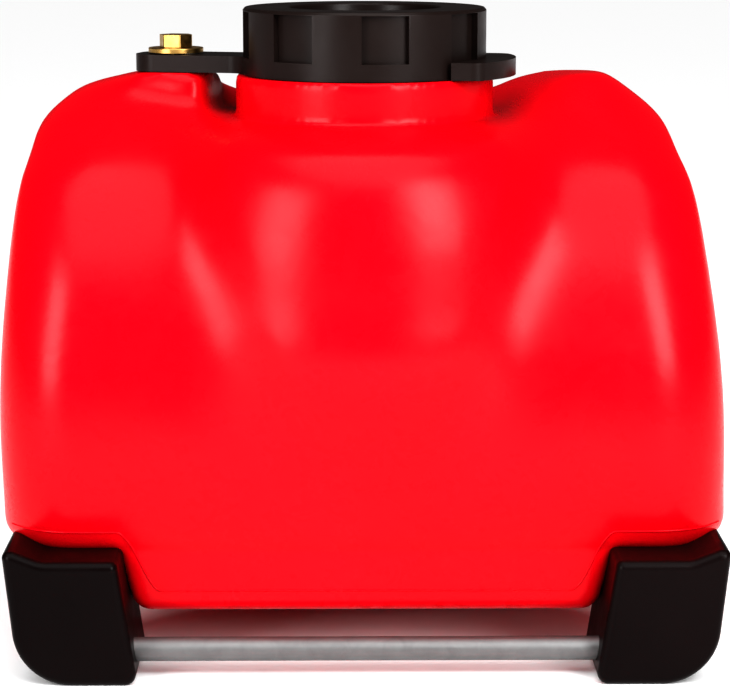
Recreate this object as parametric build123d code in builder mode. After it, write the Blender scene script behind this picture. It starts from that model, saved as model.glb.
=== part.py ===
"""Portable liquid reservoir tank: moulded shell, screw cap with a bolted locking ear, four feet.

Millimetres, +Z up, the front is -Y.  The filler neck's axis is the Z axis and the feet stand on Z = 0.
"""
import os
from math import cos, radians, sin, sqrt, tan
from build123d import *

os.makedirs("parts", exist_ok=True)

# ---------------------------------------------------------------- driving dimensions
# tank shell
tank_half_width = 152.1
tank_half_depth = 88.0
side_floor_z = 50.0         # underside of the shell above the feet
shoulder_z = 240.2
corner_radius = 34.0        # vertical corners of the shell
lower_edge_radius = 10.0
wall = 4.0
top_lean = -4.8             # the shoulders are fuller on the left by this much
belly_half_width = 106.0
belly_setback = 9.0         # from the shell's front and back faces
belly_floor_z = 23.6
belly_draft = 15.0          # degrees, the belly's sides lean inwards towards the floor
belly_edge_radius = 7.0
belly_corner_radius = 9.0

# swollen front and back under the neck
dome_radius = 101.5
dome_top_radius = 62.0
dome_widest_z = 126.0
dome_foot_z = 56.0

# filler neck
pocket_floor_z = 223.3
pocket_radius = 67.5
pocket_draft = 4.5          # the pocket's wall leans outwards by this much
pocket_rim_drop = 3.5       # the wall's rim lies this far below the shoulders
pocket_rise_radius = 96.0   # and rises to the shoulders out to here
collar_radius = 55.4
collar_top_z = 241.5
spigot_radius = 45.5
spigot_bore = 39.8
spigot_top_z = 263.8
strainer_seat_radius = 42.3
strainer_seat_depth = 2.5

# cap
cap_radius = 52.3
cap_bottom_z = 241.8
cap_top_z = 270.3
cap_rim_radius = 51.3
cap_roof = 4.0
cap_dish_radius = 31.8
cap_dish_depth = 10.0
cap_band_height = 7.1
grip_count = 8
grip_width = 19.8
grip_depth = 2.9
grip_first_angle = -80.9
ear_angle = 166.4
ear_reach = 101.5
ear_width = 26.3
ear_thickness = 7.3
ear_root_radius = 9.0
ear_tip_radius = 10.0
tab_radius = 65.1
tab_half_angle = 30.0
tab_overlap = 12.0          # the tab reaches this far under the skirt
tab_end_radius = 6.0
dish_skin = 2.5
vent_stem_radius = 2.5
vent_valve_radius = 9.0

# basket under the cap
strainer_radius = 38.8
strainer_floor_z = 199.0
strainer_skin = 1.6
strainer_windows = 6
strainer_window_width = 26.0
strainer_window_height = 40.0
strainer_floor_holes = 6
strainer_floor_hole_radius = 7.0

# locking bolt, its washer and the threaded insert in the boss
bolt_pitch_radius = 84.7
bolt_radius = 4.0
bolt_head_flats = 13.0
bolt_head_height = 5.3
bolt_engagement = 15.0
washer_radius = 12.0
washer_thickness = 2.0
insert_radius = 6.0
insert_length = 18.0
boss_inner_radius = 67.5
boss_outer_radius = 102.0
boss_width = 36.0
boss_corner = 6.0
slot_half_width = 4.7

# feet, tie rods and foot fasteners
foot_inner = 93.6
foot_outer = 142.2
foot_depth = 52.0
foot_overhang = 16.0        # the feet stand out in front of the shell
foot_seat = 2.0             # the shell's underside sits this deep in the feet
foot_lean = 7.9             # draft of the inner face over its height
foot_flare = 6.0            # draft of the outer face over its height
foot_horn = 6.3
foot_heel_radius = 24.0
foot_edge = 3.5
rod_radius = 5.0
rod_setback = 16.0          # behind the feet's front faces
rod_z = 11.3
rod_socket_depth = 8.0
screw_x = 121.0
screw_setback = 41.0        # behind the feet's front faces
screw_radius = 3.0
screw_head_radius = 5.0
screw_head_height = 6.0
screw_washer_radius = 6.2
screw_washer_thickness = 1.6
screw_counterbore_depth = 26.0
screw_insert_radius = 4.5
screw_insert_length = 11.0

# outlet at the back
outlet_z = 54.0
outlet_boss_radius = 19.0
outlet_stand = 2.0          # the boss stands out behind the shell
outlet_insert_radius = 14.0
outlet_insert_length = 18.0
outlet_thread_radius = 10.4
outlet_hex_flats = 27.0
outlet_head_height = 9.0
seal_thickness = 2.0

# clearances
running_gap = 0.05          # threads and shafts, on the radius
loose_gap = 0.3             # between faces of pieces that turn on one another
ear_lift_gap = 0.6          # the ear rises this far before it is out from under the washer
pillar_wall = 4.0           # shell material left around every insert

# ---------------------------------------------------------------- derived sizes
belly_half_depth = tank_half_depth - belly_setback
foot_front = tank_half_depth + foot_overhang
foot_top_z = side_floor_z + foot_seat
rod_y = foot_front - rod_setback
screw_y = foot_front - screw_setback
outlet_face_y = tank_half_depth + outlet_stand
dish_floor_z = cap_top_z - cap_dish_depth
cap_ceiling_z = cap_top_z - cap_roof
ear_top_z = cap_bottom_z + ear_thickness
slot_mouth = ear_width / 2 + bolt_radius
slot_sweep = bolt_pitch_radius - sqrt(bolt_pitch_radius**2 - slot_mouth**2)
washer_z = ear_top_z + ear_lift_gap
bolt_head_z = washer_z + washer_thickness + loose_gap
bolt_tip_z = collar_top_z - bolt_engagement
screw_head_floor_z = screw_counterbore_depth - screw_washer_thickness
ear_plane = Plane.XY.rotated((0, 0, ear_angle))
rear_plane = Plane((0, outlet_face_y, outlet_z), x_dir=(-1, 0, 0), z_dir=(0, 1, 0))
screw_spots = [(x, y) for x in (-screw_x, screw_x) for y in (-screw_y, screw_y)]

# height, half width, front and back as shares of the full size, then share of the lean;
# the crest runs behind the neck, so the upper front slopes back past the neck's axis
shell_stations = [
    (0.000, 1.008, 0.909, 0.909, 0.00),
    (0.094, 1.000, 0.970, 0.970, 0.12),
    (0.285, 0.998, 0.992, 0.992, 0.29),
    (0.468, 0.984, 0.932, 0.943, 0.46),
    (0.654, 0.961, 0.773, 0.864, 0.65),
    (0.797, 0.931, 0.545, 0.784, 0.83),
    (0.870, 0.905, 0.307, 0.727, 1.00),
    (0.943, 0.833, 0.011, 0.648, 1.00),
    (0.979, 0.771, -0.125, 0.580, 0.95),
    (0.995, 0.735, -0.205, 0.511, 0.92),
    (1.000, 0.685, -0.273, 0.455, 0.90),
]


def shell_loft(inset):
    """Upper shell through rounded rectangles, every face moved inwards by inset."""
    low = side_floor_z + inset
    high = shoulder_z - inset
    with BuildPart() as body:
        for height, width, front, back, lean in shell_stations:
            half_depth = tank_half_depth * (front + back) / 2
            with BuildSketch(Plane.XY.offset(low + (high - low) * height)):
                with Locations((top_lean * lean, tank_half_depth * (back - front) / 2)):
                    RectangleRounded(
                        2 * (tank_half_width * width - inset),
                        2 * (half_depth - inset),
                        min(corner_radius, 0.9 * half_depth) - inset,
                    )
        loft()
        fillet(body.faces().sort_by(Axis.Z)[0].edges(), lower_edge_radius - inset / 2)
    return body.part


def belly(inset):
    """Lower part of the shell that hangs between the feet."""
    height = side_floor_z - belly_floor_z + lower_edge_radius
    with BuildPart() as body:
        with BuildSketch(Plane.XZ):
            with BuildLine():
                low_half = belly_half_width - inset - height * tan(radians(belly_draft))
                FilletPolyline(
                    (-belly_half_width + inset, side_floor_z + lower_edge_radius),
                    (-low_half, belly_floor_z + inset),
                    (low_half, belly_floor_z + inset),
                    (belly_half_width - inset, side_floor_z + lower_edge_radius),
                    radius=[0, belly_corner_radius, belly_corner_radius, 0],
                    close=True,
                )
            make_face()
        extrude(amount=belly_half_depth - inset, both=True)
        rims = body.edges().filter_by(lambda e: abs(e.center().Y) > belly_half_depth - inset - 1)
        low_rims = rims.filter_by(lambda e: e.center().Z < side_floor_z + lower_edge_radius - 1)
        fillet(low_rims, belly_edge_radius - inset / 2)
    return body.part


def dome(inset):
    """Bell of revolution under the neck, which swells out of the front and the back."""
    top = pocket_floor_z - inset
    widest = dome_radius - inset
    with BuildPart() as body:
        with BuildSketch(Plane.XZ):
            with BuildLine():
                Line((0, top), (dome_top_radius - inset, top))
                Spline(
                    (dome_top_radius - inset, top),
                    (0.83 * dome_radius - inset, top - 0.11 * (top - dome_widest_z)),
                    (0.93 * dome_radius - inset, top - 0.34 * (top - dome_widest_z)),
                    (0.985 * dome_radius - inset, top - 0.74 * (top - dome_widest_z)),
                    (widest, dome_widest_z),
                    (0.885 * dome_radius - inset, dome_widest_z - 48),
                    (0.77 * dome_radius - inset, dome_foot_z),
                    tangents=[(1, -0.1), (-0.6, -1)],
                )
                Line((0.77 * dome_radius - inset, dome_foot_z), (0, dome_foot_z))
                Line((0, dome_foot_z), (0, top))
            make_face()
        revolve(axis=Axis.Z)
    return body.part


def pocket(inset):
    """Sunken ring around the neck with a steep wall, and the shallow dip around it, open to the top."""
    rim_radius = pocket_radius + pocket_draft + inset
    rim_z = shoulder_z - pocket_rim_drop - inset
    end_radius = 2 * (pocket_rise_radius + inset) - rim_radius
    with BuildPart() as body:
        with BuildSketch(Plane.XZ):
            with BuildLine():
                FilletPolyline(
                    (0, pocket_floor_z - inset),
                    (pocket_radius + inset, pocket_floor_z - inset),
                    (rim_radius, rim_z),
                    (end_radius, rim_z + 2 * pocket_rim_drop),
                    (end_radius, shoulder_z + 20),
                    (0, shoulder_z + 20),
                    radius=[0, 4, 3, 0, 0, 0],
                    close=True,
                )
            make_face()
        revolve(axis=Axis.Z)
    return body.part


# ---------------------------------------------------------------- tank shell
with BuildPart() as tank_skin:
    add(shell_loft(0))
    add(pocket(0), mode=Mode.SUBTRACT)
    add(dome(0))
    add(belly(0))
    with BuildSketch(Plane.XY.offset(pocket_floor_z - wall)):
        Circle(collar_radius)
    extrude(amount=collar_top_z - pocket_floor_z + wall)
    with BuildSketch(ear_plane.offset(pocket_floor_z - wall)):
        with Locations(((boss_inner_radius + boss_outer_radius) / 2, 0)):
            RectangleRounded(boss_outer_radius - boss_inner_radius, boss_width, boss_corner)
    extrude(amount=collar_top_z - pocket_floor_z + wall)
    with BuildSketch(rear_plane):
        Circle(outlet_boss_radius)
    extrude(amount=-(outlet_face_y - belly_half_depth + wall))

with BuildPart() as tank_cavity:
    add(shell_loft(wall))
    add(pocket(wall), mode=Mode.SUBTRACT)
    add(dome(wall))
    add(belly(wall))
    with BuildSketch(Plane.XY.offset(pocket_floor_z - 2 * wall)):
        Circle(collar_radius - wall)
    extrude(amount=collar_top_z - pocket_floor_z + wall)
    with BuildSketch(ear_plane.offset(collar_top_z - insert_length - pillar_wall)):
        with Locations((bolt_pitch_radius, 0)):
            Circle(insert_radius + pillar_wall)
    extrude(amount=insert_length + pillar_wall, mode=Mode.SUBTRACT)
    with BuildSketch(Plane.XY.offset(side_floor_z)):
        with Locations(*screw_spots):
            Circle(screw_insert_radius + pillar_wall)
    extrude(amount=screw_insert_length + pillar_wall, mode=Mode.SUBTRACT)

with BuildPart() as tank_shell:
    add(tank_skin.part)
    with BuildSketch(Plane.XY.offset(collar_top_z - wall)):
        Circle(spigot_radius)
    extrude(amount=spigot_top_z - collar_top_z + wall)
    add(tank_cavity.part, mode=Mode.SUBTRACT)
    with BuildSketch(Plane.XY.offset(spigot_top_z)):
        Circle(spigot_bore)
    extrude(amount=-(spigot_top_z - collar_top_z + 2 * wall), mode=Mode.SUBTRACT)
    with BuildSketch(Plane.XY.offset(spigot_top_z)):
        Circle(strainer_seat_radius)
    extrude(amount=-strainer_seat_depth, mode=Mode.SUBTRACT)
    with BuildSketch(ear_plane.offset(collar_top_z)):
        with Locations((bolt_pitch_radius, 0)):
            Circle(insert_radius)
    extrude(amount=-insert_length, mode=Mode.SUBTRACT)
    with BuildSketch(Plane.XY.offset(side_floor_z)):
        with Locations(*screw_spots):
            Circle(screw_insert_radius)
    extrude(amount=screw_insert_length, mode=Mode.SUBTRACT)
    with BuildSketch(rear_plane):
        Circle(outlet_insert_radius)
    extrude(amount=-(outlet_face_y - belly_half_depth + 2 * wall), mode=Mode.SUBTRACT)
tank_shell.part.label = "tank_shell"
export_step(tank_shell.part, "parts/tank_shell.step")

# ---------------------------------------------------------------- cap
with BuildPart() as cap:
    with BuildSketch(Plane.XZ):
        with BuildLine():
            FilletPolyline(
                (cap_radius, cap_bottom_z),
                (cap_radius, cap_top_z - 1.2),
                (cap_rim_radius, cap_top_z),
                (cap_dish_radius + 1, cap_top_z),
                (cap_dish_radius, dish_floor_z),
                (0, dish_floor_z),
                (0, dish_floor_z - dish_skin),
                (cap_dish_radius + 3.5, dish_floor_z - dish_skin),
                (cap_dish_radius + 3.5, cap_ceiling_z),
                (spigot_radius + loose_gap, cap_ceiling_z),
                (spigot_radius + loose_gap, cap_bottom_z),
                radius=[0, 0.5, 0.8, 1, 1.5, 0, 0, 1, 0, 0, 0],
                close=True,
            )
        make_face()
    revolve(axis=Axis.Z)
    with BuildSketch(Plane.XY.offset(cap_bottom_z + cap_band_height)):
        with PolarLocations(cap_radius + 3, grip_count, start_angle=grip_first_angle):
            Rectangle(14, grip_width)
        Circle(cap_radius - grip_depth, mode=Mode.SUBTRACT)
    extrude(amount=cap_top_z - cap_bottom_z - cap_band_height - 1.5, mode=Mode.SUBTRACT)
    # holding tab opposite the ear: part of a ring with rounded ends
    with BuildSketch(ear_plane.offset(cap_bottom_z)) as tab:
        Circle(tab_radius)
        with Locations((-tab_radius, 0)):
            Rectangle(
                2 * tab_radius * (1 - cos(radians(tab_half_angle))) + 2 * tab_overlap,
                2 * tab_radius * sin(radians(tab_half_angle)),
                mode=Mode.INTERSECT,
            )
        fillet(tab.vertices().sort_by(Axis.X)[:2], tab_end_radius)
        Circle(spigot_radius + loose_gap, mode=Mode.SUBTRACT)
    extrude(amount=ear_thickness)
    # locking ear with concave roots and a slot that is open at its trailing edge; the slot flares
    # inwards there, as the bolt leaves it along an arc about the cap's axis
    with BuildSketch(ear_plane.offset(cap_bottom_z)) as ear:
        Circle(cap_radius)
        with Locations((ear_reach / 2, 0)):
            Rectangle(ear_reach, ear_width)
        tips = ear.vertices().group_by(Axis.X)[-1]
        fillet(tips, ear_tip_radius)
        roots = ear.vertices().filter_by(lambda v: 0 < v.X < cap_radius)
        fillet(roots, ear_root_radius)
        Circle(spigot_radius + loose_gap, mode=Mode.SUBTRACT)
        Polygon(
            (bolt_pitch_radius - slot_half_width, 0),
            (bolt_pitch_radius - slot_half_width - slot_sweep, -slot_mouth),
            (bolt_pitch_radius + slot_half_width, -slot_mouth),
            (bolt_pitch_radius + slot_half_width, 0),
            align=None,
            mode=Mode.SUBTRACT,
        )
        with Locations((bolt_pitch_radius, 0)):
            Circle(slot_half_width, mode=Mode.SUBTRACT)
    extrude(amount=ear_thickness)
    # stem hole and vent holes of the valve in the middle of the dish
    with Locations((0, 0, dish_floor_z)):
        Hole(vent_stem_radius)
        with PolarLocations(vent_stem_radius + 3.2, 6):
            Hole(1)
cap.part.label = "cap"
export_step(cap.part, "parts/cap.step")

with BuildPart() as cap_gasket:
    with BuildSketch(Plane.XY.offset(spigot_top_z + loose_gap)):
        Circle(spigot_radius - 0.4)
        Circle(spigot_bore + 0.6, mode=Mode.SUBTRACT)
    extrude(amount=cap_ceiling_z - spigot_top_z - 2 * loose_gap)
    fillet(cap_gasket.edges(), 0.4)
cap_gasket.part.label = "cap_gasket"
export_step(cap_gasket.part, "parts/cap_gasket.step")

# umbrella valve that lets air in through the ring of small holes around it
with BuildPart() as vent_valve:
    with BuildSketch(Plane.XZ):
        with BuildLine():
            Polyline(
                (0, dish_floor_z + 2.4),
                (1.4, dish_floor_z + 2.4),
                (vent_stem_radius + 0.9, dish_floor_z + 0.4),
                (vent_stem_radius + 0.9, dish_floor_z),
                (vent_stem_radius, dish_floor_z),
                (vent_stem_radius, dish_floor_z - dish_skin),
                (vent_valve_radius, dish_floor_z - dish_skin),
                (vent_valve_radius, dish_floor_z - dish_skin - 0.8),
                (0, dish_floor_z - dish_skin - 2.2),
                close=True,
            )
        make_face()
    revolve(axis=Axis.Z)
vent_valve.part.label = "vent_valve"
export_step(vent_valve.part, "parts/vent_valve.step")

# ---------------------------------------------------------------- filler strainer
with BuildPart() as filler_strainer:
    with BuildSketch(Plane.XZ):
        with BuildLine():
            Polyline(
                (strainer_seat_radius - loose_gap, spigot_top_z - strainer_seat_depth),
                (strainer_seat_radius - loose_gap, spigot_top_z - 0.7),
                (strainer_radius - strainer_skin, spigot_top_z - 0.7),
                (strainer_radius - strainer_skin - 3, strainer_floor_z + strainer_skin),
                (0, strainer_floor_z + strainer_skin),
                (0, strainer_floor_z),
                (strainer_radius - 3, strainer_floor_z),
                (strainer_radius, spigot_top_z - strainer_seat_depth),
                close=True,
            )
        make_face()
    revolve(axis=Axis.Z)
    # drain windows around the basket and through its floor
    with BuildSketch(Plane.XY.offset(strainer_floor_z + 7)):
        with PolarLocations(strainer_radius, strainer_windows):
            Rectangle(16, strainer_window_width)
    extrude(amount=strainer_window_height, mode=Mode.SUBTRACT)
    with BuildSketch(Plane.XY.offset(strainer_floor_z)):
        with PolarLocations(strainer_radius * 0.57, strainer_floor_holes):
            Circle(strainer_floor_hole_radius)
        Circle(strainer_floor_hole_radius)
    extrude(amount=strainer_skin, mode=Mode.SUBTRACT)
filler_strainer.part.label = "filler_strainer"
export_step(filler_strainer.part, "parts/filler_strainer.step")

# ---------------------------------------------------------------- locking bolt
with BuildPart() as lock_insert:
    with BuildSketch(ear_plane.offset(collar_top_z)):
        with Locations((bolt_pitch_radius, 0)):
            Circle(insert_radius)
            Circle(bolt_radius + running_gap, mode=Mode.SUBTRACT)
    extrude(amount=-insert_length)
lock_insert.part.label = "lock_insert"
export_step(lock_insert.part, "parts/lock_insert.step")

with BuildPart() as lock_washer:
    with BuildSketch(ear_plane.offset(washer_z)):
        with Locations((bolt_pitch_radius, 0)):
            Circle(washer_radius)
            Circle(bolt_radius + loose_gap, mode=Mode.SUBTRACT)
    extrude(amount=washer_thickness)
    fillet(lock_washer.edges().group_by(Axis.Z)[-1].sort_by(SortBy.RADIUS)[-1], 0.4)
lock_washer.part.label = "lock_washer"
export_step(lock_washer.part, "parts/lock_washer.step")

with BuildPart() as lock_bolt:
    with BuildSketch(ear_plane.offset(bolt_head_z)):
        with Locations((bolt_pitch_radius, 0)):
            RegularPolygon(bolt_head_flats / 2, 6, major_radius=False)
    extrude(amount=bolt_head_height)
    with BuildSketch(ear_plane.offset(bolt_head_z)):
        with Locations((bolt_pitch_radius, 0)):
            Circle(bolt_head_flats / 2 * 1.12)
    extrude(amount=bolt_head_height, mode=Mode.INTERSECT)
    with BuildSketch(ear_plane.offset(bolt_tip_z)):
        with Locations((bolt_pitch_radius, 0)):
            Circle(bolt_radius)
    extrude(amount=bolt_head_z - bolt_tip_z)
    chamfer(lock_bolt.edges().group_by(Axis.Z)[0], 0.8)
lock_bolt.part.label = "lock_bolt"
export_step(lock_bolt.part, "parts/lock_bolt.step")

# ---------------------------------------------------------------- feet and tie rods
foot_top_outer = foot_outer + foot_flare
with BuildPart() as foot_front_right:
    with BuildSketch(Plane.XZ.offset(foot_front)):
        with BuildLine():
            FilletPolyline(
                (foot_inner, 0),
                (foot_outer, 0),
                (foot_top_outer, side_floor_z + foot_horn),
                (foot_top_outer - 5, side_floor_z + foot_horn),
                (foot_top_outer - 16, foot_top_z),
                (foot_inner + foot_lean, foot_top_z),
                radius=[4.5, foot_heel_radius, 2.5, 2.5, 9, 3],
                close=True,
            )
        make_face()
    extrude(amount=-foot_depth)
    fillet(foot_front_right.faces().sort_by(Axis.Y)[0].edges(), foot_edge)
    add(tank_skin.part, mode=Mode.SUBTRACT)
    with BuildSketch(Plane.YZ.offset(foot_inner - foot_lean)):
        with Locations((-rod_y, rod_z)):
            Circle(rod_radius)
    extrude(amount=rod_socket_depth + foot_lean, mode=Mode.SUBTRACT)
    with Locations((screw_x, -screw_y, side_floor_z)):
        Hole(screw_radius + loose_gap)
    with BuildSketch():
        with Locations((screw_x, -screw_y)):
            Circle(screw_washer_radius + loose_gap)
    extrude(amount=screw_counterbore_depth, mode=Mode.SUBTRACT)
foot_front_right.part.label = "foot_front_right"
export_step(foot_front_right.part, "parts/foot_front_right.step")

with BuildPart() as foot_front_left:
    mirror(foot_front_right.part, about=Plane.YZ)
    add(tank_skin.part, mode=Mode.SUBTRACT)
foot_front_left.part.label = "foot_front_left"
export_step(foot_front_left.part, "parts/foot_front_left.step")

with BuildPart() as foot_rear_right:
    mirror(foot_front_right.part, about=Plane.XZ)
    add(tank_skin.part, mode=Mode.SUBTRACT)
foot_rear_right.part.label = "foot_rear_right"
export_step(foot_rear_right.part, "parts/foot_rear_right.step")

with BuildPart() as foot_rear_left:
    mirror(foot_rear_right.part, about=Plane.YZ)
    add(tank_skin.part, mode=Mode.SUBTRACT)
foot_rear_left.part.label = "foot_rear_left"
export_step(foot_rear_left.part, "parts/foot_rear_left.step")

rod_half_length = foot_inner + rod_socket_depth
with BuildPart() as tie_rod_front:
    with BuildSketch(Plane.YZ.offset(-rod_half_length)):
        with Locations((-rod_y, rod_z)):
            Circle(rod_radius)
    extrude(amount=2 * rod_half_length)
    chamfer(tie_rod_front.edges(), 0.6)
tie_rod_front.part.label = "tie_rod_front"
export_step(tie_rod_front.part, "parts/tie_rod_front.step")

with BuildPart() as tie_rod_rear:
    mirror(tie_rod_front.part, about=Plane.XZ)
tie_rod_rear.part.label = "tie_rod_rear"
export_step(tie_rod_rear.part, "parts/tie_rod_rear.step")

with BuildPart() as foot_inserts:
    with BuildSketch(Plane.XY.offset(side_floor_z)):
        with Locations(*screw_spots):
            Circle(screw_insert_radius)
            Circle(screw_radius, mode=Mode.SUBTRACT)
    extrude(amount=screw_insert_length)
foot_inserts.part.label = "foot_inserts"
export_step(foot_inserts.part, "parts/foot_inserts.step")

with BuildPart() as foot_washers:
    with BuildSketch(Plane.XY.offset(screw_head_floor_z)):
        with Locations(*screw_spots):
            Circle(screw_washer_radius)
            Circle(screw_radius, mode=Mode.SUBTRACT)
    extrude(amount=screw_washer_thickness)
foot_washers.part.label = "foot_washers"
export_step(foot_washers.part, "parts/foot_washers.step")

with BuildPart() as foot_screws:
    with BuildSketch(Plane.XY.offset(screw_head_floor_z)):
        with Locations(*screw_spots):
            Circle(screw_head_radius)
    extrude(amount=-screw_head_height)
    with BuildSketch(Plane.XY.offset(screw_head_floor_z)):
        with Locations(*screw_spots):
            Circle(screw_radius)
    extrude(amount=side_floor_z + screw_insert_length - 2 - screw_head_floor_z)
    with BuildSketch(Plane.XY.offset(screw_head_floor_z - screw_head_height)):
        with Locations(*screw_spots):
            RegularPolygon(2.5, 6, major_radius=False)
    extrude(amount=3, mode=Mode.SUBTRACT)
foot_screws.part.label = "foot_screws"
export_step(foot_screws.part, "parts/foot_screws.step")

# ---------------------------------------------------------------- outlet at the back
with BuildPart() as outlet_insert:
    with BuildSketch(rear_plane):
        Circle(outlet_insert_radius)
        Circle(outlet_thread_radius + running_gap, mode=Mode.SUBTRACT)
    extrude(amount=-outlet_insert_length)
outlet_insert.part.label = "outlet_insert"
export_step(outlet_insert.part, "parts/outlet_insert.step")

with BuildPart() as outlet_seal:
    with BuildSketch(rear_plane.offset(loose_gap)):
        Circle(outlet_hex_flats / 2 - 0.5)
        Circle(outlet_thread_radius + loose_gap, mode=Mode.SUBTRACT)
    extrude(amount=seal_thickness)
    fillet(outlet_seal.edges(), 0.5)
outlet_seal.part.label = "outlet_seal"
export_step(outlet_seal.part, "parts/outlet_seal.step")

plug_head_plane = rear_plane.offset(seal_thickness + 2 * loose_gap)
with BuildPart() as outlet_plug:
    with BuildSketch(plug_head_plane):
        RegularPolygon(outlet_hex_flats / 2, 6, major_radius=False)
    extrude(amount=outlet_head_height)
    with BuildSketch(plug_head_plane):
        Circle(outlet_hex_flats / 2 * 1.12)
    extrude(amount=outlet_head_height, mode=Mode.INTERSECT)
    with BuildSketch(rear_plane.offset(-outlet_insert_length + 3)):
        Circle(outlet_thread_radius)
    extrude(amount=outlet_insert_length - 3 + seal_thickness + 2 * loose_gap)
    chamfer(outlet_plug.edges().group_by(Axis.Y)[0], 1)
outlet_plug.part.label = "outlet_plug"
export_step(outlet_plug.part, "parts/outlet_plug.step")
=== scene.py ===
"""Looks of the liquid reservoir tank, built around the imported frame."""
import math

import bpy
import numpy as np
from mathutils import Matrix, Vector
from mathutils.bvhtree import BVHTree


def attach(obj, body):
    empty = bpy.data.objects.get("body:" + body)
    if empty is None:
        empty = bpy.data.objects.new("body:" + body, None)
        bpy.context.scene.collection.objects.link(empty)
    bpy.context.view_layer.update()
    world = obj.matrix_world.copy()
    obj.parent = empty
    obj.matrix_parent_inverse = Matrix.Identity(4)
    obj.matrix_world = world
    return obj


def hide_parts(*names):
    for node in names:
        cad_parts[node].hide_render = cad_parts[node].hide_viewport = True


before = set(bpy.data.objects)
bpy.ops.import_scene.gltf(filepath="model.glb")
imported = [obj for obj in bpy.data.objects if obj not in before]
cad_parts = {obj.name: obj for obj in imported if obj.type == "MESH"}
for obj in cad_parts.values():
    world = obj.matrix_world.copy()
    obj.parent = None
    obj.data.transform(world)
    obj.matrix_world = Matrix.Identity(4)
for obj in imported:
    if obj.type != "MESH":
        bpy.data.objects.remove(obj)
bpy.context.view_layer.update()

MM = 0.001
CAMERA_POSITION = (-10.6 * MM, -1106.0 * MM, 324.9 * MM)
CAMERA_PITCH = math.radians(10.35)
CAMERA_YAW = math.radians(-0.56)
CAMERA_LENS = 126.2         # millimetres, on a sensor of CAMERA_SENSOR millimetres
CAMERA_SENSOR = 36.0


def add_object(name, data):
    thing = bpy.data.objects.new(name, data)
    bpy.context.scene.collection.objects.link(thing)
    return thing


# ---------------------------------------------------------------- node helpers
def new_material(name):
    material = bpy.data.materials.new(name)
    material.use_nodes = True
    nodes = material.node_tree.nodes
    return material, nodes, material.node_tree.links, nodes["Principled BSDF"]


def noise(nodes, links, coords, scale, detail=4.0, roughness=0.55, distortion=0.0):
    node = nodes.new("ShaderNodeTexNoise")
    node.inputs["Scale"].default_value = scale
    node.inputs["Detail"].default_value = detail
    node.inputs["Roughness"].default_value = roughness
    node.inputs["Distortion"].default_value = distortion
    links.new(coords, node.inputs["Vector"])
    return node.outputs["Fac"]


def remap(nodes, links, value, low, high, from_low=0.3, from_high=0.7):
    node = nodes.new("ShaderNodeMapRange")
    node.inputs["From Min"].default_value = from_low
    node.inputs["From Max"].default_value = from_high
    node.inputs["To Min"].default_value = low
    node.inputs["To Max"].default_value = high
    links.new(value, node.inputs["Value"])
    return node.outputs["Result"]


def mix(nodes, links, factor, first, second):
    node = nodes.new("ShaderNodeMix")
    node.data_type = "RGBA"
    links.new(factor, node.inputs[0])
    node.inputs[6].default_value = (*first, 1.0)
    node.inputs[7].default_value = (*second, 1.0)
    return node.outputs[2]


def bump(nodes, links, height, distance, below=None):
    node = nodes.new("ShaderNodeBump")
    node.inputs["Distance"].default_value = distance
    node.inputs["Strength"].default_value = 1.0
    links.new(height, node.inputs["Height"])
    if below is not None:
        links.new(below, node.inputs["Normal"])
    return node.outputs["Normal"]


def object_coords(nodes):
    return nodes.new("ShaderNodeTexCoord").outputs["Object"]


# ---------------------------------------------------------------- mesh helpers
VOXEL = 0.0018              # metres, as every length below
VALLEY_TURNS = 420          # relaxing steps in the valleys
FIRM_TURNS = 5              # relaxing steps everywhere else
VALLEY_RINGS = 14           # vertices on either side of a crease that relax with it
VALLEY_DEPTH = 0.00006      # a vertex this far below its neighbours lies in a crease
CREASE_TURNS = 3


def smooth_step(low, high, value):
    t = np.clip((value - low) / (high - low), 0.0, 1.0)
    return t * t * (3 - 2 * t)


def bake_modifiers(piece):
    """Applies the piece's modifiers to its mesh, so none is left on it."""
    graph = bpy.context.evaluated_depsgraph_get()
    mesh = bpy.data.meshes.new_from_object(piece.evaluated_get(graph), depsgraph=graph)
    piece.modifiers.clear()
    piece.data = mesh


def read_vectors(collection, attribute, width, kind=np.float64):
    values = np.empty(len(collection) * width, kind)
    collection.foreach_get(attribute, values)
    return values.reshape(-1, width)


def neighbour_mean(edges, values):
    """Mean of each vertex's neighbours."""
    count = len(values)
    first, second = edges[:, 0], edges[:, 1]
    degree = np.bincount(first, minlength=count) + np.bincount(second, minlength=count)
    total = np.stack([
        np.bincount(first, column[second], count) + np.bincount(second, column[first], count)
        for column in values.T
    ], axis=1)
    return total / np.maximum(degree, 1)[:, None]


def valley_weights(mesh):
    """1 along concave creases, fading to 0 over a band of VALLEY_RINGS vertices on either side."""
    places = read_vectors(mesh.vertices, "co", 3)
    normals = read_vectors(mesh.vertices, "normal", 3)
    edges = read_vectors(mesh.edges, "vertices", 2, np.int32)
    relaxed = places
    for _ in range(CREASE_TURNS):
        relaxed = neighbour_mean(edges, relaxed)
    hollow = np.einsum("ij,ij->i", relaxed - places, normals)
    weight = (hollow > VALLEY_DEPTH).astype(np.float64)
    for _ in range(VALLEY_RINGS):
        spread = weight.copy()
        np.maximum.at(spread, edges[:, 0], weight[edges[:, 1]])
        np.maximum.at(spread, edges[:, 1], weight[edges[:, 0]])
        weight = spread
    for _ in range(VALLEY_RINGS):
        weight = neighbour_mean(edges, weight[:, None])[:, 0]
    return places, weight


# ---------------------------------------------------------------- materials
DRIFT_SCALE = 9.0
SCUFF_SCALE = 60.0
PEEL_SCALE = 32.0
GRAIN_SCALE = 900.0
BLOTCH_SCALE = 140.0
SCRATCH_SCALE = 400.0
SCRATCH_DEPTH = 0.00002


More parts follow.
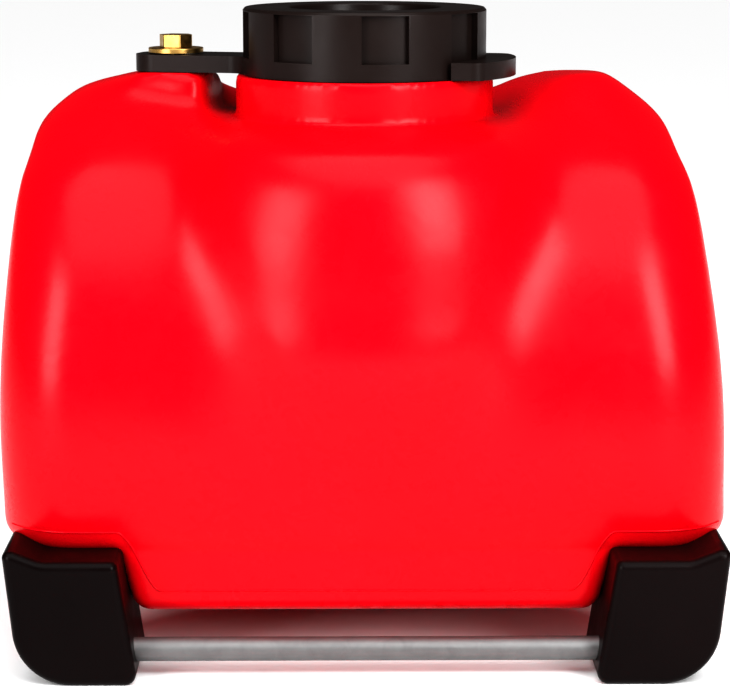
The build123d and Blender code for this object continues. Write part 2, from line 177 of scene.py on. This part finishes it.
def moulded_plastic(name, base, deep, roughness, peel, grain, specular=0.5, subsurface=0.0):
    """Moulded plastic: slow colour drift, orange peel, fine grain and dull scuffs."""
    material, nodes, links, shader = new_material(name)
    coords = object_coords(nodes)
    drift = noise(nodes, links, coords, DRIFT_SCALE, 3.0)
    colour = mix(nodes, links, remap(nodes, links, drift, 0.0, 1.0), base, deep)
    links.new(colour, shader.inputs["Base Color"])
    scuffs = noise(nodes, links, coords, SCUFF_SCALE, 6.0, 0.7, 0.4)
    links.new(remap(nodes, links, scuffs, *roughness), shader.inputs["Roughness"])
    waves = bump(nodes, links, noise(nodes, links, coords, PEEL_SCALE, 2.0), peel)
    grains = bump(nodes, links, noise(nodes, links, coords, GRAIN_SCALE, 2.0), grain, waves)
    links.new(grains, shader.inputs["Normal"])
    shader.inputs["Specular IOR Level"].default_value = specular
    shader.inputs["Subsurface Weight"].default_value = subsurface
    shader.inputs["Subsurface Radius"].default_value = (0.012, 0.002, 0.001)
    shader.inputs["Subsurface Scale"].default_value = 1.0
    return material


def metal(name, base, tint, roughness, stretch=(1, 1, 1)):
    """Plated or bare metal: blotchy tint, drawn scratches and uneven gloss."""
    material, nodes, links, shader = new_material(name)
    coords = object_coords(nodes)
    scaled = nodes.new("ShaderNodeMapping")
    scaled.inputs["Scale"].default_value = stretch
    links.new(coords, scaled.inputs["Vector"])
    blotch = noise(nodes, links, coords, BLOTCH_SCALE, 5.0, 0.6, 0.6)
    colour = mix(nodes, links, remap(nodes, links, blotch, 0.0, 1.0), base, tint)
    links.new(colour, shader.inputs["Base Color"])
    lines = noise(nodes, links, scaled.outputs["Vector"], SCRATCH_SCALE, 5.0, 0.65)
    links.new(remap(nodes, links, lines, *roughness), shader.inputs["Roughness"])
    links.new(bump(nodes, links, lines, SCRATCH_DEPTH), shader.inputs["Normal"])
    shader.inputs["Metallic"].default_value = 1.0
    return material


red = moulded_plastic(
    "red_shell", (0.56, 0.000, 0.008), (0.53, 0.000, 0.006),
    roughness=(0.24, 0.32), peel=0.00012, grain=0.00001, specular=0.13,
)
black_gloss = moulded_plastic(
    "black_cap", (0.010, 0.006, 0.005), (0.014, 0.009, 0.008),
    roughness=(0.26, 0.40), peel=0.00008, grain=0.00002, specular=0.13,
)
black_satin = moulded_plastic(
    "black_feet", (0.003, 0.0015, 0.0015), (0.006, 0.003, 0.003),
    roughness=(0.28, 0.40), peel=0.00008, grain=0.00003, specular=0.07,
)
rubber = moulded_plastic(
    "black_rubber", (0.020, 0.020, 0.020), (0.030, 0.030, 0.030),
    roughness=(0.60, 0.75), peel=0.00005, grain=0.00004,
)
natural = moulded_plastic(
    "natural_plastic", (0.72, 0.70, 0.62), (0.66, 0.64, 0.56),
    roughness=(0.40, 0.55), peel=0.0001, grain=0.00002, subsurface=0.1,
)
zinc_yellow = metal("yellow_zinc", (0.52, 0.34, 0.12), (0.44, 0.26, 0.08), roughness=(0.22, 0.42))
rod_metal = metal(
    "rod_steel", (0.18, 0.18, 0.18), (0.15, 0.15, 0.15), roughness=(0.50, 0.65), stretch=(0.05, 1, 1),
)
brass = metal("turned_brass", (0.72, 0.50, 0.20), (0.62, 0.42, 0.16), roughness=(0.20, 0.38))

MATERIAL_OF = {
    "tank_shell": red, "cap": black_gloss, "cap_gasket": rubber, "vent_valve": rubber,
    "filler_strainer": natural,
    "lock_bolt": zinc_yellow, "lock_washer": zinc_yellow, "lock_insert": brass,
    "foot_front_left": black_satin, "foot_front_right": black_satin,
    "foot_rear_left": black_satin, "foot_rear_right": black_satin,
    "tie_rod_front": rod_metal, "tie_rod_rear": rod_metal,
    "foot_screws": rod_metal, "foot_washers": rod_metal,
    "foot_inserts": brass, "outlet_insert": brass, "outlet_plug": brass, "outlet_seal": rubber,
}
for name, material in MATERIAL_OF.items():
    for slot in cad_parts[name].material_slots:
        slot.material = material


# ---------------------------------------------------------------- moulded shell
# the zones that relax: (start, end) of each fade, from none to full
POCKET_FLOOR = 0.2233
POCKET_MARGIN = 0.0003
COLLAR_RADIUS = 0.0554
COLLAR_MARGIN = 0.002
COLLAR_FADE = (COLLAR_RADIUS + 0.001, COLLAR_RADIUS + 0.012)
FOOT_FADE = (0.050, 0.066)  # the edges that sit in the feet stay as packed
BOSS_CENTRE = (-0.0823, 0.0199)
BOSS_TOP = 0.2415
BOSS_FLAT = 0.0165
BOSS_MARGIN = 0.002
BOSS_FADE = (0.020, 0.030)
BOSS_SHARE = 0.15
WEIGHT_STEPS = 20

# the witness line of the mould
SEAM_RADIUS = 0.00042
SEAM_HIGH = 0.0595
SEAM_LOW = 0.0335
SEAM_BEND = (0.085, 0.103)
SEAM_REACH = 0.1475
SEAM_POINTS = 240
SEAM_START = 0.3            # rays start this far in front of or behind the shell's middle


def shell_skin():
    """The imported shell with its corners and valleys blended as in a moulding."""
    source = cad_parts["tank_shell"]
    skin = add_object("shell_skin", source.data.copy())
    skin.matrix_world = source.matrix_world.copy()
    bpy.context.view_layer.objects.active = skin
    remesh = skin.modifiers.new("remesh", "REMESH")
    remesh.mode = "VOXEL"
    remesh.voxel_size = VOXEL
    bake_modifiers(skin)
    places, valley = valley_weights(skin.data)
    radius = np.hypot(places[:, 0], places[:, 1])
    height = places[:, 2]
    neck = (height > POCKET_FLOOR + POCKET_MARGIN) & (radius < COLLAR_RADIUS + COLLAR_MARGIN)
    above_feet = smooth_step(*FOOT_FADE, height)
    boss_gap = np.hypot(places[:, 0] - BOSS_CENTRE[0], places[:, 1] - BOSS_CENTRE[1])
    boss = np.where(height > POCKET_FLOOR, smooth_step(*BOSS_FADE, boss_gap), 1.0)
    beside_neck = smooth_step(*COLLAR_FADE, radius)
    valley = valley * above_feet * np.maximum(boss, BOSS_SHARE) * np.where(neck, 0.0, beside_neck)
    boss_top = (height > BOSS_TOP - BOSS_MARGIN) & (boss_gap < BOSS_FLAT)
    valley[boss_top] = 0.0
    firm = np.where(neck | boss_top, 0.0, 1.0)
    for name, weights, turns in (("valley", valley, VALLEY_TURNS), ("firm", firm, FIRM_TURNS)):
        group = skin.vertex_groups.new(name=name)
        for step in range(1, WEIGHT_STEPS + 1):
            members = np.flatnonzero(np.round(weights * WEIGHT_STEPS) == step)
            group.add(members.tolist(), step / WEIGHT_STEPS, "REPLACE")
        smooth = skin.modifiers.new(name, "SMOOTH")
        smooth.factor = 0.5
        smooth.iterations = turns
        smooth.vertex_group = name
    bake_modifiers(skin)
    skin.data.polygons.foreach_set("use_smooth", [True] * len(skin.data.polygons))
    skin.data.materials.clear()
    skin.data.materials.append(red)
    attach(skin, "tank")
    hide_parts("tank_shell")
    return skin


def seam_height(x):
    """Height of the witness line, which follows the shell's stepped lower edge."""
    return SEAM_LOW + (SEAM_HIGH - SEAM_LOW) * float(smooth_step(*SEAM_BEND, abs(x)))


def seam_line(name, side, surface):
    """Raised witness line of the mould, laid on the front or the back face."""
    data = bpy.data.curves.new(name, "CURVE")
    data.dimensions = "3D"
    data.bevel_depth = SEAM_RADIUS
    data.bevel_resolution = 2
    data.use_fill_caps = True
    points = []
    for x in np.linspace(-SEAM_REACH, SEAM_REACH, SEAM_POINTS):
        start = Vector((x, side * SEAM_START, seam_height(x)))
        hit = surface.ray_cast(start, Vector((0, -side, 0)))[0]
        if hit is not None:
            points.append(hit)
    spline = data.splines.new("POLY")
    spline.points.add(len(points) - 1)
    for point, place in zip(spline.points, points):
        point.co = (*place, 1.0)
    curve = bpy.data.objects.new(name + "_path", data)
    mesh = bpy.data.meshes.new_from_object(curve)
    bpy.data.objects.remove(curve)
    mesh.name = name
    piece = add_object(name, mesh)
    mesh.polygons.foreach_set("use_smooth", [True] * len(mesh.polygons))
    mesh.materials.clear()
    mesh.materials.append(red)
    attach(piece, "tank")


shell = shell_skin()
shell_surface = BVHTree.FromPolygons(
    [vertex.co for vertex in shell.data.vertices],
    [polygon.vertices for polygon in shell.data.polygons],
)
seam_line("witness_line_front", -1, shell_surface)
seam_line("witness_line_back", 1, shell_surface)


# ---------------------------------------------------------------- stage, light and camera
FLOOR_HALF = 12.0
LIGHT_TARGET = (0.0, 0.0, 0.14)
SUN_STRENGTH = 2.9
SUN_ANGLE = math.radians(60.0)
SUN_TILT = math.radians(18.0)
WORLD_STRENGTH = 0.08
EXPOSURE = -0.35


def floor():
    mesh = bpy.data.meshes.new("floor")
    corners = [(x * FLOOR_HALF, y * FLOOR_HALF, 0) for x, y in ((-1, -1), (1, -1), (1, 1), (-1, 1))]
    mesh.from_pydata(corners, [], [(0, 1, 2, 3)])
    material, nodes, links, shader = new_material("pale_floor")
    shader.inputs["Base Color"].default_value = (0.95, 0.95, 0.95, 1.0)
    shader.inputs["Roughness"].default_value = 0.8
    mesh.materials.append(material)
    add_object("floor", mesh)


def area_light(name, location, width, height, power):
    """Softbox that points at LIGHT_TARGET."""
    data = bpy.data.lights.new(name, "AREA")
    data.shape = "RECTANGLE"
    data.size = width
    data.size_y = height
    data.energy = power
    light = add_object(name, data)
    light.location = location
    direction = Vector(LIGHT_TARGET) - Vector(location)
    light.rotation_euler = direction.to_track_quat("-Z", "Y").to_euler()


floor()
area_light("key_left", (-0.88, -0.95, 0.58), width=0.48, height=0.80, power=17.0)
area_light("key_right", (0.72, -1.0, 0.74), width=0.52, height=0.85, power=24.0)

sun_data = bpy.data.lights.new("sun", "SUN")
sun_data.energy = SUN_STRENGTH
sun_data.angle = SUN_ANGLE
add_object("sun", sun_data).rotation_euler = (SUN_TILT, 0.0, 0.0)

world = bpy.data.worlds.new("world")
world.use_nodes = True
background = world.node_tree.nodes["Background"]
background.inputs["Color"].default_value = (1.0, 1.0, 1.0, 1.0)
background.inputs["Strength"].default_value = WORLD_STRENGTH
bpy.context.scene.world = world

view = bpy.context.scene.view_settings
view.view_transform = "Standard"
view.look = "High Contrast"
view.exposure = EXPOSURE

camera_data = bpy.data.cameras.new("camera")
camera_data.sensor_width = CAMERA_SENSOR
camera_data.lens = CAMERA_LENS
camera_data.clip_start = 0.01
camera = add_object("camera", camera_data)
camera.location = CAMERA_POSITION
camera.rotation_euler = (math.pi / 2 - CAMERA_PITCH, 0.0, CAMERA_YAW)
bpy.context.scene.camera = camera
